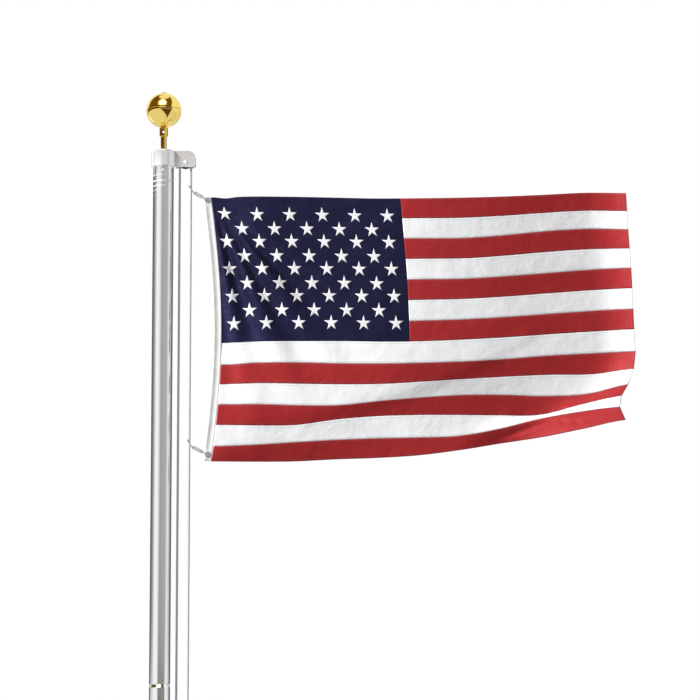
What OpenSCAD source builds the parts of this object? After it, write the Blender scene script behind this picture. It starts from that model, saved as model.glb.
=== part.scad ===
// Sectional aluminium flagpole: gilt ball finial, side-sheave truck, looped
// halyard on a cleat, and a stitched flag that runs up and down the halyard.
// Millimetres. Origin on the pole axis at ground level, +Z up, +X towards the flag.

/* [Pole] */
// Height of the top end of the pole tube above the ground
pole_h = 6100; // [5600:50:7000]
// Outside diameter of the pole tube
pole_od = 71.5; // [62:0.5:82]
// Wall thickness of the pole tube
pole_wall = 3.2; // [2.4:0.1:4.5]
// Length of one tube section, end to end
section_len = 1829; // [1700:1:2200]
// Length of the swaged end that fits up inside the next section
swage_len = 152; // [100:1:200]
// Gap all round between a swaged end and the tube it fits in
swage_gap = 0.3; // [0.2:0.1:0.6]
// Length of the cone between the tube and its swaged end
swage_cone = 12; // [8:1:20]
// Thickness of the plug that closes the tube at ground level
plug_thick = 30; // [15:1:50]

/* [Ground sleeve] */
// Height of the sleeve's rim above the ground
sleeve_rim_h = 25; // [15:1:60]
// Wall thickness of the sleeve
sleeve_wall = 5.5; // [4:0.1:8]
// Gap between the pole and the sleeve, filled by the centring ring
sleeve_gap = 3.2; // [2:0.1:6]
// How far the centring ring's lip stands above the sleeve
ring_lip = 3; // [2:0.5:6]

/* [Truck] */
// How far the truck's cap stands out past the side of the pole
cap_stand = 5.75; // [4.5:0.25:9]
// Thickness of the cap's top
cap_top = 12; // [8:0.5:16]
// How far the cap's skirt laps down over the pole
skirt_len = 45; // [35:1:60]
// Radius of the cap's upper shoulder
cap_shoulder = 5; // [2:0.5:6]
// Gap all round between the pole and the truck
truck_gap = 0.3; // [0.2:0.1:0.6]
// Length of the truck's spigot inside the pole
spigot_len = 78; // [60:1:110]
// Wall thickness of the spigot
spigot_wall = 5; // [4:0.5:8]
// Distance from the outer fall of the halyard to the outer end of the pulley housing
nose_out = 16; // [14:0.5:20]
// How far the housing's top lies below the cap's top
housing_drop = 3; // [0:0.5:5]
// Height of the pulley housing
housing_h = 56; // [54:1:66]
// Width of the pulley housing across its cheeks
housing_w = 32; // [30:0.5:40]
// Thickness of each cheek
cheek_t = 6; // [4:0.5:7]
// Thickness of the housing's roof
roof_t = 5; // [4:0.5:9]
// Thickness of the housing's outer end
end_t = 6; // [4:0.5:6.5]
// Radius of the housing's upper outer corner
nose_r = 26; // [12:1:28]
// Radius of the housing's lower outer corner
toe_r = 12; // [4:1:14]
// Diameter of the screws that hold the truck's spigot
truck_screw_d = 5; // [4:0.5:6]
// Distance of those screws below the cap's skirt
truck_screw_drop = 16; // [12:1:24]

/* [Sheave and halyard] */
// Diameter of the halyard rope
rope_d = 8; // [6:0.5:9]
// Distance from the side of the truck's cap to the inner fall of the halyard
inner_fall_out = 15.1; // [13:0.1:18]
// Distance between the two falls, which is the sheave's pitch diameter
fall_gap = 38.4; // [36:0.2:40]
// Distance from the cap's top down to the sheave's axle
axle_drop = 42; // [40:0.5:46]
// Diameter of the sheave's pin
pin_d = 8; // [6:0.5:10]
// Gap all round between the pin and the sheave's bore
pin_gap = 0.08; // [0.05:0.01:0.1]
// Width of the sheave
sheave_w = 15; // [13:0.5:17]
// How far the sheave's flanges stand out past the rope's centre line
flange_over = 1.5; // [1:0.5:4]
// Gap between the rope and the sheave's groove
groove_gap = 0.3; // [0.2:0.1:0.6]

/* [Cleat] */
// Height of the cleat's centre above the ground
cleat_h = 1150; // [1000:10:1200]
// Length of the cleat from horn tip to horn tip
cleat_len = 160; // [130:1:170]
// Distance from the pole's side to the cleat's horns, at their centre
cleat_stand = 32; // [30:1:36]
// Diameter of the cleat's horns at their root
horn_d = 13; // [10:0.5:15]
// Diameter of the cleat's screws
cleat_screw_d = 5; // [4:0.5:6]

/* [Finial] */
// Outside diameter of the ball
ball_d = 122; // [100:0.5:140]
// Wall thickness of the ball
ball_wall = 2; // [1.5:0.1:3]
// Distance from the cap's top to the ball's underside
ball_lift = 82.5; // [65:0.5:110]
// Diameter of the spindle
spindle_d = 20.5; // [16:0.5:22]
// Diameter of the ferrule under the ball
ferrule_d = 29; // [27:0.5:34]
// Height of the ferrule
ferrule_h = 32.5; // [24:0.5:40]
// Diameter of the ferrule's set screw
set_screw_d = 8; // [6:0.5:9]
// Diameter of the plug in the ball's top
ball_plug_d = 14; // [10:0.5:18]
// Thickness of the plug's head
ball_plug_t = 3.5; // [2:0.5:5]
// Gap all round between the finial's fitted pieces
finial_gap = 0.15; // [0.1:0.05:0.3]

/* [Flag] */
// Height of the flag along its hoist
flag_hoist = 916; // [760:1:1000]
// Reach of the flown flag from its hoist seam to its fly
flag_reach = 1429; // [1180:1:1700]
// Distance from the cap's top down to the flag's upper corner
flag_drop = 163; // [150:1:200]
// Distance from the outer fall of the halyard to the hoist seam at its upper corner
hoist_out = 70; // [66:1:80]
// How far the hoist bows out between its two snaps
hoist_bow = 35; // [0:1:45]
// How much further out the lower corner of the hoist lies
hoist_rake = 5; // [0:1:12]
// How far the fly edge bows out at its middle
fly_bow = 31; // [0:1:45]
// How far the lower fly corner is drawn in
fly_rake = 10; // [0:1:40]
// How far the lower fly corner is blown up
fly_lift = 141; // [0:1:180]
// How far the upper fly corner is blown up
top_lift = 15; // [0:1:40]
// Depth of the flag's waves to each side
wave_depth = 52; // [0:1:70]
// Number of waves along the flag
wave_count = 0.8; // [0.5:0.1:3]
// How many waves the lower edge runs ahead of the upper one
wave_lead = 0.5; // [0:0.05:1]
// Thickness of the cloth
cloth_t = 2; // [1.5:0.1:3]
// Width of the canvas header
header_w = 26; // [24:0.5:34]
// Diameter of the hole in each grommet
grommet_bore = 10; // [9:0.5:11]
// Outside diameter of each grommet's flange
grommet_od = 19; // [17:0.5:22]
// Distance from the flag's upper corner down to the upper grommet
upper_inset = 10; // [10:1:24]
// Distance from the flag's lower corner up to the lower grommet
lower_inset = 21; // [10:1:30]

/* [Snaps] */
// Diameter of the wire of the snap's eye
eye_wire = 4; // [3:0.5:5]
// Gap between the halyard and each side of the eye
eye_gap = 0.3; // [0.2:0.1:1]
// Length of the straight part of the eye
eye_straight = 14; // [10:1:18]
// Tilt of the eye from the level
eye_tilt = 58; // [50:1:62]
// Height of the eye's middle above the grommet
eye_rise = 40; // [32:1:44]
// Diameter of the snap's barrel
barrel_d = 13; // [11:0.5:15]
// Diameter of the hook's wire
hook_wire = 5; // [4:0.5:5.5]
// Distance between the hook's two sides, at their centre lines
hook_w = 14; // [13:0.5:16]
// Gap between the hook and the edge of the grommet that it pulls on
hook_gap = 0.3; // [0.2:0.1:0.6]

/* [Hidden] */

$fn = 64;
eps = 0.01;
// gaps round a screw, under a head, and round the sheave's pin in the cheeks
screw_gap = 0.1;
head_gap = 0.3;
truck_pin_gap = 0.05;
// gaps round the pole's plug, round the centring ring, and between cleat and pole
plug_gap = 0.1;
ring_gap = 0.2;
cleat_gap = 0.2;
stripe_count = 13;
canton_stripes = 7;
section_count = 4;

// Pole
pole_r = pole_od / 2;
bore_r = pole_r - pole_wall;
swage_r = bore_r - swage_gap;
pitch_len = section_len - swage_len;
// foot of each section, placed from the top down; the first one is cut at the ground
function section_foot(n) = n == 1 ? 0 : pole_h - section_len - (section_count - n) * pitch_len;
function section_top(n) = pole_h - (section_count - n) * pitch_len;

// Truck
cap_top_z = pole_h + cap_top;
skirt_z = pole_h - skirt_len;
cap_r = pole_r + cap_stand;
axle_z = cap_top_z - axle_drop;
pitch_r = fall_gap / 2;
inner_fall_x = cap_r + inner_fall_out;
axle_x = inner_fall_x + pitch_r;
outer_fall_x = inner_fall_x + fall_gap;
housing_reach = outer_fall_x + nose_out;
housing_top_z = cap_top_z - housing_drop;
housing_bottom_z = housing_top_z - housing_h;
well_x0 = cap_r + 1.5;
well_w = housing_w - 2 * cheek_t;
spigot_r = bore_r - truck_gap;
truck_screw_z = skirt_z - truck_screw_drop;
// how far a screw's or pin's head stands out
screw_head_t = 2;

// Rope
rope_r = rope_d / 2;
// the straight falls end above the cleat, where the rope is led in to it
inner_fall_end = cleat_h + 2 * cleat_len;
outer_fall_end = inner_fall_end + 30;

// Finial
ball_r = ball_d / 2;
ball_z = cap_top_z + ball_lift + ball_r;
ferrule_z = cap_top_z + ball_lift - ferrule_h;
set_screw_z = ferrule_z + ferrule_h * 0.42;
spindle_hole_d = spindle_d + 2 * finial_gap;
plug_shank_d = ball_plug_d / 2;
// how far the spindle is screwed into the cap, and how far it reaches into the ball
spindle_tail = cap_top + 6;
spindle_in_ball = 22;

// Flag: stations along the fly (u) and down the hoist (v)
u_steps = 25;
canton_step = 12;
v_steps = 2 * stripe_count;
flag_top_z = cap_top_z - flag_drop;
grommet_barrel = grommet_bore + 2;
grommet_flange_t = 1;
grommet_flange_gap = 0.2;
grommet_barrel_gap = 0.1;
upper_hole_z = flag_top_z - upper_inset;
lower_hole_z = flag_top_z - flag_hoist + lower_inset;

gold = [0.86, 0.68, 0.28];
satin = [0.80, 0.81, 0.82];
steel = [0.62, 0.63, 0.65];
rope_grey = [0.67, 0.67, 0.67];
navy = [0.13, 0.13, 0.24];
stripe_red = [0.68, 0.19, 0.20];
white_cloth = [0.92, 0.92, 0.93];
black_rubber = [0.12, 0.12, 0.12];

// ---- finial ---------------------------------------------------------------

module ball_shell() {
    translate([0, 0, ball_z]) difference() {
        sphere(r = ball_r);
        sphere(r = ball_r - ball_wall);
    }
}

module half_space(above) {
    translate([-ball_d, -ball_d, above ? ball_z : ball_z - 2 * ball_d])
        cube([2 * ball_d, 2 * ball_d, 2 * ball_d]);
}

module ball_upper_half() {
    color(gold) difference() {
        intersection() {
            ball_shell();
            half_space(true);
        }
        translate([0, 0, ball_z]) cylinder(d = plug_shank_d + 2 * finial_gap, h = ball_d);
    }
}

module ball_lower_half() {
    color(gold) difference() {
        intersection() {
            ball_shell();
            half_space(false);
        }
        translate([0, 0, ball_z - ball_d]) cylinder(d = spindle_hole_d, h = ball_d);
    }
}

module ball_plug() {
    color(gold) translate([0, 0, ball_z + ball_r]) {
        cylinder(d = ball_plug_d, h = ball_plug_t - 1);
        translate([0, 0, ball_plug_t - 1]) cylinder(d1 = ball_plug_d, d2 = ball_plug_d - 3, h = 1);
        translate([0, 0, -3 * ball_wall]) cylinder(d = plug_shank_d, h = 3 * ball_wall + eps);
    }
}

module ferrule() {
    r = ferrule_d / 2;
    foot_bevel = 1;
    top_bevel = 2;
    top = ferrule_h - 2 * finial_gap;
    color(gold) difference() {
        translate([0, 0, ferrule_z]) rotate_extrude() polygon([
            [spindle_hole_d / 2, 0],
            [r - foot_bevel, 0],
            [r, foot_bevel],
            [r, ferrule_h - top_bevel],
            [r - top_bevel, top],
            [spindle_hole_d / 2, top]]);
        translate([0, 0, set_screw_z]) rotate([90, 0, 0])
            cylinder(d = set_screw_d + 2 * finial_gap, h = ferrule_d);
    }
}

module ferrule_set_screw() {
    color(steel) translate([0, -spindle_hole_d / 2, set_screw_z]) rotate([90, 0, 0])
        cylinder(d = set_screw_d, h = (ferrule_d - spindle_d) / 2 + 0.6);
}

module spindle() {
    color(gold) translate([0, 0, cap_top_z - spindle_tail])
        cylinder(d = spindle_d, h = spindle_tail + ball_lift + spindle_in_ball);
}

// ---- truck ----------------------------------------------------------------

// the housing seen from its side, with its two outer corners rounded
module housing_outline() {
    difference() {
        translate([0, housing_bottom_z]) square([housing_reach, housing_h]);
        translate([housing_reach - nose_r, housing_top_z - nose_r]) difference() {
            square([nose_r + eps, nose_r + eps]);
            circle(r = nose_r);
        }
        translate([housing_reach - toe_r, housing_bottom_z - eps]) difference() {
            square([toe_r + eps, toe_r + eps]);
            translate([0, toe_r + eps]) circle(r = toe_r);
        }
    }
}

// the space inside the housing, open below, that the sheave and rope run in
module housing_well() {
    inner_nose = nose_r - end_t;
    well_x1 = housing_reach - end_t;
    well_top = housing_top_z - roof_t;
    translate([0, well_w / 2, 0]) rotate([90, 0, 0])
        linear_extrude(well_w) difference() {
            translate([well_x0, housing_bottom_z - 1])
                square([well_x1 - well_x0, well_top - housing_bottom_z + 1]);
            translate([well_x1 - inner_nose, well_top - inner_nose]) difference() {
                square([inner_nose + eps, inner_nose + eps]);
                circle(r = inner_nose);
            }
        }
}

module cap_outline() {
    difference() {
        translate([0, skirt_z]) square([cap_r, cap_top_z - skirt_z]);
        translate([cap_r - cap_shoulder, cap_top_z - cap_shoulder]) difference() {
            square([cap_shoulder + eps, cap_shoulder + eps]);
            circle(r = cap_shoulder);
        }
    }
}

// the truck's two screws, on the front and back of the pole, drawn outwards from its axis
module truck_screw_places() {
    for (side = [-1, 1])
        translate([0, 0, truck_screw_z]) rotate([-side * 90, 0, 0]) children();
}

module truck_screw_holes() {
    truck_screw_places() cylinder(d = truck_screw_d + 2 * screw_gap, h = pole_od);
}

module truck() {
    color(satin) difference() {
        union() {
            rotate_extrude() cap_outline();
            translate([0, housing_w / 2, 0]) rotate([90, 0, 0])
                linear_extrude(housing_w) housing_outline();
        }
        // room for the pole inside the skirt
        translate([0, 0, skirt_z - housing_h])
            cylinder(r = pole_r + truck_gap, h = pole_h - skirt_z + housing_h);
        housing_well();
        translate([0, 0, pole_h - eps]) cylinder(d = spindle_hole_d, h = cap_top + 1);
        // hole for the sheave's pin
        translate([axle_x, housing_w, axle_z]) rotate([90, 0, 0])
            cylinder(r = pin_d / 2 + truck_pin_gap, h = 2 * housing_w);
    }
    color(satin) difference() {
        translate([0, 0, pole_h - spigot_len]) cylinder(r = spigot_r, h = spigot_len);
        translate([0, 0, pole_h - spigot_len - 1])
            cylinder(r = spigot_r - spigot_wall, h = spigot_len + 2);
        truck_screw_holes();
    }
}

module truck_screws() {
    color(satin) truck_screw_places() {
        translate([0, 0, spigot_r - spigot_wall])
            cylinder(d = truck_screw_d, h = pole_r - spigot_r + spigot_wall + 2 * head_gap);
        translate([0, 0, pole_r + head_gap])
            cylinder(d1 = truck_screw_d + 3, d2 = truck_screw_d, h = screw_head_t);
    }
}

// riveted over into a low head outside each cheek
module sheave_pin() {
    shank = housing_w + 2 * head_gap;
    color(satin) translate([axle_x, shank / 2, axle_z]) rotate([90, 0, 0]) {
        cylinder(d = pin_d, h = shank);
        translate([0, 0, shank - eps]) cylinder(d1 = pin_d + 4, d2 = pin_d + 1, h = screw_head_t);
        translate([0, 0, eps - screw_head_t]) cylinder(d1 = pin_d + 1, d2 = pin_d + 4, h = screw_head_t);
    }
}

module sheave() {
    groove_r = rope_r + groove_gap;
    lip = flange_over + 1;
    color(steel) translate([axle_x, 0, axle_z]) rotate([90, 0, 0]) difference() {
        cylinder(r = pitch_r + flange_over, h = sheave_w, center = true);
        cylinder(d = pin_d + 2 * pin_gap, h = sheave_w + 2, center = true);
        rotate_extrude() translate([pitch_r, 0]) circle(r = groove_r);
        rotate_extrude() polygon([
            [pitch_r, -groove_r],
            [pitch_r + lip, -groove_r - 1],
            [pitch_r + lip, groove_r + 1],
            [pitch_r, groove_r]]);
    }
}

// ---- pole -----------------------------------------------------------------

// one tube, with its swaged upper end unless it is the top section
module tube(foot, top, swaged) {
    body_top = swaged ? top - swage_len : top;
    rotate_extrude() polygon(swaged
        ? [[bore_r, foot], [pole_r, foot], [pole_r, body_top - swage_cone],
           [swage_r, body_top], [swage_r, top],
           [swage_r - pole_wall, top], [swage_r - pole_wall, body_top], [bore_r, body_top - swage_cone]]
        : [[bore_r, foot], [pole_r, foot], [pole_r, top], [bore_r, top]]);
}

module pole_section(n) {
    color(satin) difference() {
        tube(section_foot(n), section_top(n), n < section_count);
        if (n == section_count) truck_screw_holes();
        cleat_screw_places() cylinder(d = cleat_screw_d + 2 * screw_gap, h = pole_r, center = true);
    }
}

module pole_plug() {
    color(black_rubber) cylinder(r = bore_r - plug_gap, h = plug_thick);
}

module ground_sleeve() {
    inner = pole_r + sleeve_gap;
    color(white_cloth) rotate_extrude() translate([inner, 0]) square([sleeve_wall, sleeve_rim_h]);
}

module centring_ring() {
    inner = pole_r + ring_gap;
    outer = pole_r + sleeve_gap - ring_gap;
    seat_z = sleeve_rim_h + ring_gap;
    edge_z = sleeve_rim_h + 1;
    top_z = sleeve_rim_h + ring_lip;
    // the lip stops a little short of the sleeve's outside
    lip_r = pole_r + sleeve_gap + sleeve_wall - 1;
    color(black_rubber) rotate_extrude() polygon([
        [inner, 0], [outer, 0], [outer, seat_z], [lip_r, seat_z],
        [lip_r, edge_z], [inner + 1, top_z], [inner, top_z]]);
}

// ---- cleat ----------------------------------------------------------------

cleat_pad_t = 5;
cleat_pad_w = 24;
stem_len = 40;
cleat_screw_z = stem_len / 2 + 21;
cleat_pad_len = 2 * cleat_screw_z + 18;
stem_w = 16;
horn_x = pole_r + cleat_stand;

module cleat_screw_places() {
    for (side = [-1, 1])
        translate([pole_r, 0, cleat_h + side * cleat_screw_z]) rotate([0, 90, 0]) children();
}

module horn(side) {
    horn_len = cleat_len / 2;
    tip_d = horn_d * 0.62;
    translate([horn_x, 0, cleat_h]) rotate([0, side > 0 ? 4 : 176, 0]) {
        cylinder(d1 = horn_d, d2 = tip_d, h = horn_len - tip_d / 2);
        translate([0, 0, horn_len - tip_d / 2]) sphere(d = tip_d);
    }
}

module cleat() {
    // the pad and stem are begun inside the pole's outline, then cut to the tube's curve
    pad_x = pole_r - cleat_pad_t;
    color(satin) difference() {
        union() {
            translate([pad_x, -cleat_pad_w / 2, cleat_h - cleat_pad_len / 2])
                cube([2 * cleat_pad_t, cleat_pad_w, cleat_pad_len]);
            translate([pad_x, -stem_w / 2, cleat_h - stem_len / 2])
                cube([horn_x - pad_x, stem_w, stem_len]);
            for (side = [-1, 1]) horn(side);
            translate([horn_x, 0, cleat_h - stem_len / 2 - 2]) cylinder(d = stem_w, h = stem_len + 4);
        }
        translate([0, 0, cleat_h - cleat_len]) cylinder(r = pole_r + cleat_gap, h = 2 * cleat_len);
        cleat_screw_places() cylinder(d = cleat_screw_d + 2 * screw_gap, h = 3 * cleat_pad_t);
    }
}

module cleat_screws() {
    // how far each screw reaches in past the tube's wall
    tail = 3;
    color(steel) cleat_screw_places() {
        translate([0, 0, -pole_wall - tail])
            cylinder(d = cleat_screw_d, h = pole_wall + tail + cleat_pad_t + 2 * head_gap);
        translate([0, 0, cleat_pad_t + head_gap])
            cylinder(d1 = cleat_screw_d * 1.9, d2 = cleat_screw_d, h = screw_head_t);
    }
}

// ---- halyard --------------------------------------------------------------

module halyard_bend() {
    color(rope_grey) translate([axle_x, 0, axle_z]) rotate([90, 0, 0])
        rotate_extrude(angle = 180) translate([pitch_r, 0]) circle(r = rope_r);
}

module halyard_inner_fall() {
    color(rope_grey) translate([inner_fall_x, 0, inner_fall_end])
        cylinder(r = rope_r, h = axle_z - inner_fall_end);
}

module halyard_outer_fall() {
    color(rope_grey) translate([outer_fall_x, 0, outer_fall_end])
        cylinder(r = rope_r, h = axle_z - outer_fall_end);
}

// One point on the rope's way round the cleat, measured from the cleat's centre at the
// pole's side to the near side of the rope, whose own radius is then added.
function lay(x, y, z) = [x + rope_r, y + sign(y) * rope_r, z];
// down from the inner fall past the front of the cleat
lead_in = [
    [inner_fall_x - pole_r, 0, inner_fall_end - cleat_h],
    [inner_fall_x - pole_r, 0, inner_fall_end - cleat_h - 30],
    lay(15, -1, 220), lay(12, -9, 150), lay(8, -13, 90), lay(6.5, -13, 40), lay(6.5, -12, 0)];
// under the lower horn, over the stem, under the upper horn, and back over the first turn
first_turn = [
    lay(6.5, -10.5, -18), lay(6.5, -4, -27), lay(7, 0, -29), lay(9, 5, -27),
    lay(16, 12, -22), lay(28, 13, -15), lay(39, 8, -8), lay(42, 0, 0), lay(39, -8, 8),
    lay(30, -14, 15), lay(20, -13, 22), lay(16, -5, 28), lay(16, 0, 30), lay(16, 5, 28)];
second_turn = [
    lay(20, 13, 22), lay(34, 15, 15), lay(48, 8, 8), lay(52, 0, 0), lay(48, -9, -8),
    lay(34, -15, -15), lay(21, -14, -22), lay(17, -5, -28), lay(17, 0, -30), lay(16, 6, -29)];
// up behind the cleat to the outer fall
lead_out = [
    lay(14, 16, -22), lay(12, 23, -6), lay(12, 24, 20), lay(16, 20, 80), lay(28, 11, 160),
    lay(44, 1, 260),
    [outer_fall_x - pole_r, 0, outer_fall_end - cleat_h - 40],
    [outer_fall_x - pole_r, 0, outer_fall_end - cleat_h]];
turn_points = concat(lead_in, first_turn, second_turn, lead_out);

function spline_point(p, i, t) =
    let (a = p[max(i - 1, 0)], b = p[i], c = p[i + 1], d = p[min(i + 2, len(p) - 1)])
    0.5 * (2 * b + (c - a) * t + (2 * a - 5 * b + 4 * c - d) * t * t + (3 * b - a - 3 * c + d) * t * t * t);

function spline(p, n) = concat(
    [for (i = [0:len(p) - 2]) for (k = [0:n - 1]) spline_point(p, i, k / n)],
    [p[len(p) - 1]]);

function unit(v) = v / norm(v);
function tangent(p, i) = i == 0 || i == len(p) - 1
    ? [0, 0, i == 0 ? -1 : 1]
    : unit(p[i + 1] - p[i - 1]);
// a side direction carried along the path without twisting
function carry(side, along) = unit(side - (side * along) * along);
function sides(p, i, side) = i == len(p)
    ? []
    : let (s = carry(side, tangent(p, i))) concat([s], sides(p, i + 1, s));

module rope_sweep(path, r, n) {
    side = sides(path, 0, [0, 1, 0]);
    last = len(path) - 1;
    points = [for (i = [0:last])
        let (t = tangent(path, i), a = side[i], b = cross(t, a))
        for (k = [0:n - 1]) path[i] + r * (cos(360 * k / n) * a + sin(360 * k / n) * b)];
    skin = [for (i = [0:last - 1]) for (k = [0:n - 1])
        let (m = (k + 1) % n)
        for (half = [0, 1]) half == 0
            ? [i * n + k, (i + 1) * n + k, (i + 1) * n + m]
            : [i * n + k, (i + 1) * n + m, i * n + m]];
    start_cap = [for (k = [0:n - 1]) k];
    end_cap = [for (k = [n - 1:-1:0]) last * n + k];
    polyhedron(points = points, faces = concat(skin, [start_cap, end_cap]));
}

module halyard_cleat_turns() {
    color(rope_grey) translate([pole_r, 0, cleat_h])
        rope_sweep(spline(turn_points, 2), rope_r, 10);
}

// ---- snaps ----------------------------------------------------------------

// The eye's loop is threaded on the outer fall. The hook runs from the loop's lower end
// to the grommet, and each hook is drawn along +X with the grommet's hole at the origin.
eye_w = rope_d + 2 * eye_gap + eye_wire;
eye_arm = eye_straight / 2 + eye_w / 2;
bar_x = -25;
bar_d = 8;
post_d = 4;
barrel_x = 5;
function joint_x() = outer_fall_x + eye_arm * cos(eye_tilt);
function joint_z(hole_z) = hole_z + eye_rise - eye_arm * sin(eye_tilt);
function snap_reach(hole_z) = norm([hole_x(hole_z) - joint_x(), joint_z(hole_z) - hole_z]);
// the hook's bend is drawn in until it pulls on the grommet's edge
grommet_half = cloth_t / 2 + grommet_flange_gap + grommet_flange_t;
hook_sag = hook_w / 2 - sqrt(pow(hook_w / 2, 2) - pow(grommet_half, 2));
hook_pull = grommet_bore / 2 - hook_wire / 2 - hook_gap - hook_sag;

module snap_frame(hole_z) {
    pitch = atan2(joint_z(hole_z) - hole_z, hole_x(hole_z) - joint_x());
    translate([hole_x(hole_z), 0, hole_z]) rotate([0, pitch, 0]) children();
}

module snap_eye(hole_z) {
    half = eye_straight / 2;
    color(steel) {
        translate([outer_fall_x, 0, hole_z + eye_rise]) rotate([0, eye_tilt, 0]) {
            for (side = [-1, 1]) {
                translate([-half, side * eye_w / 2, 0]) rotate([0, 90, 0])
                    cylinder(d = eye_wire, h = eye_straight);
                translate([side * half, 0, 0]) rotate([0, 0, side > 0 ? -90 : 90])
                    rotate_extrude(angle = 180) translate([eye_w / 2, 0]) circle(d = eye_wire);
            }
        }
        snap_frame(hole_z) translate([-snap_reach(hole_z), 0, 0]) rotate([0, 90, 0])
            cylinder(d = post_d, h = barrel_x + 9);
    }
}

module snap_hook(hole_z) {
    start = barrel_x - snap_reach(hole_z);
    arc_r = hook_w / 2;
    bend_x = -arc_r - hook_pull;
    color(steel) snap_frame(hole_z) {
        difference() {
            union() {
                translate([start, 0, 0]) rotate([0, 90, 0]) {
                    cylinder(d1 = barrel_d - 4, d2 = barrel_d, h = 3);
                    translate([0, 0, 3]) cylinder(d = barrel_d, h = bar_x - start - 3);
                }
                translate([bar_x, 0, 0]) sphere(d = barrel_d);
                translate([bar_x, arc_r, 0]) rotate([90, 0, 0]) cylinder(d = bar_d, h = hook_w);
                for (side = [-1, 1]) translate([bar_x, side * arc_r, 0]) sphere(d = bar_d);
            }
            translate([start - 1, 0, 0]) rotate([0, 90, 0]) cylinder(d = post_d + 0.4, h = 11);
        }
        translate([bar_x, arc_r, 0]) rotate([0, 90, 0]) cylinder(d = hook_wire, h = bend_x - bar_x);
        translate([bend_x, 0, 0]) rotate([0, 0, -90])
            rotate_extrude(angle = 180) translate([arc_r, 0]) circle(d = hook_wire);
    }
}

module snap_bolt(hole_z) {
    bolt_start = bar_x + bar_d / 2 + head_gap;
    bolt_end = -hook_w / 2 - hook_pull - head_gap;
    color(steel) snap_frame(hole_z) translate([bolt_start, -hook_w / 2, 0]) rotate([0, 90, 0])
        cylinder(d = hook_wire - 1, h = bolt_end - bolt_start);
}

module snap_bolts() {
    snap_bolt(upper_hole_z);
    snap_bolt(lower_hole_z);
}

module upper_snap_eye() { snap_eye(upper_hole_z); }
module upper_snap_hook() { snap_hook(upper_hole_z); }
module lower_snap_eye() { snap_eye(lower_hole_z); }
module lower_snap_hook() { snap_hook(lower_hole_z); }

// ---- flag -----------------------------------------------------------------

hoist_x = outer_fall_x + hoist_out;
function seam_x(v) = hoist_x + hoist_rake * v + hoist_bow * sin(180 * v);
function fly_x(v) = hoist_x + flag_reach - fly_rake * v + fly_bow * sin(180 * v);
function cloth_x(u, v) = seam_x(v) + (fly_x(v) - seam_x(v)) * u;
function cloth_z(u, v) =
    let (top = flag_top_z + top_lift * pow(u, 3), foot = flag_top_z - flag_hoist + fly_lift * pow(u, 2.4))
    top + (foot - top) * v;
// the waves start from nothing at the hoist, and only the lowest stripes run much ahead
function cloth_y(u, v) =
    -wave_depth * min(1, 2.2 * u) * sin(360 * (wave_count * u + wave_lead * pow(v, 4)));
function cloth_point(i, j, side) =
    let (u = i / u_steps, v = j / v_steps)
    [cloth_x(u, v), cloth_y(u, v) + side * cloth_t / 2, cloth_z(u, v)];

// the cloth between stations i0..i1 along the fly and j0..j1 down the hoist
module cloth_patch(i0, i1, j0, j1) {
    ni = i1 - i0 + 1;
    nj = j1 - j0 + 1;
    size = ni * nj;
    points = [for (side = [-1, 1]) for (i = [i0:i1]) for (j = [j0:j1]) cloth_point(i, j, side)];
    front = [for (i = [0:ni - 2]) for (j = [0:nj - 2]) let (a = i * nj + j)
        for (half = [0, 1]) half == 0 ? [a, a + nj, a + nj + 1] : [a, a + nj + 1, a + 1]];
    back = [for (f = front) [f[2] + size, f[1] + size, f[0] + size]];
    rim_top = [for (i = [0:ni - 2]) let (a = i * nj)
        for (half = [0, 1]) half == 0 ? [a, a + size, a + nj + size] : [a, a + nj + size, a + nj]];
    rim_foot = [for (i = [0:ni - 2]) let (a = i * nj + nj - 1)
        for (half = [0, 1]) half == 0 ? [a, a + nj, a + nj + size] : [a, a + nj + size, a + size]];
    rim_hoist = [for (j = [0:nj - 2])
        for (half = [0, 1]) half == 0 ? [j, j + 1, j + 1 + size] : [j, j + 1 + size, j + size]];
    rim_fly = [for (j = [0:nj - 2]) let (a = (ni - 1) * nj + j)
        for (half = [0, 1]) half == 0 ? [a, a + size, a + 1 + size] : [a, a + 1 + size, a + 1]];
    polyhedron(points = points, faces = concat(front, back, rim_top, rim_foot, rim_hoist, rim_fly));
}

module canton() {
    color(navy) cloth_patch(0, canton_step, 0, 2 * canton_stripes);
}

module stripe(n) {
    start = n <= canton_stripes ? canton_step : 0;
    color(n % 2 == 1 ? stripe_red : white_cloth)
        cloth_patch(start, u_steps, 2 * (n - 1), 2 * n);
}

function hole_x(hole_z) = seam_x((flag_top_z - hole_z) / flag_hoist) - header_w / 2;

module grommet_hole(hole_z, d) {
    translate([hole_x(hole_z), 0, hole_z]) rotate([90, 0, 0])
        cylinder(d = d, h = cloth_t * 6, center = true);
}

module header() {
    outline = concat(
        [for (j = [0:v_steps]) [seam_x(j / v_steps), flag_top_z - flag_hoist * j / v_steps]],
        [for (j = [v_steps:-1:0]) [seam_x(j / v_steps) - header_w, flag_top_z - flag_hoist * j / v_steps]]);
    color(white_cloth) difference() {
        translate([0, cloth_t / 2, 0]) rotate([90, 0, 0]) linear_extrude(cloth_t) polygon(outline);
        grommet_hole(upper_hole_z, grommet_barrel + 2 * grommet_barrel_gap);
        grommet_hole(lower_hole_z, grommet_barrel + 2 * grommet_barrel_gap);
    }
}

module grommet(hole_z) {
    flange_y = grommet_half - grommet_flange_t / 2;
    color(steel) translate([hole_x(hole_z), 0, hole_z]) rotate([90, 0, 0]) difference() {
        union() {
            cylinder(d = grommet_barrel, h = 2 * grommet_half, center = true);
            for (side = [-1, 1]) translate([0, 0, side * flange_y])
                cylinder(d = grommet_od, h = grommet_flange_t, center = true);
        }
        cylinder(d = grommet_bore, h = 4 * grommet_half, center = true);
    }
}

module upper_grommet() { grommet(upper_hole_z); }
module lower_grommet() { grommet(lower_hole_z); }

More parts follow.
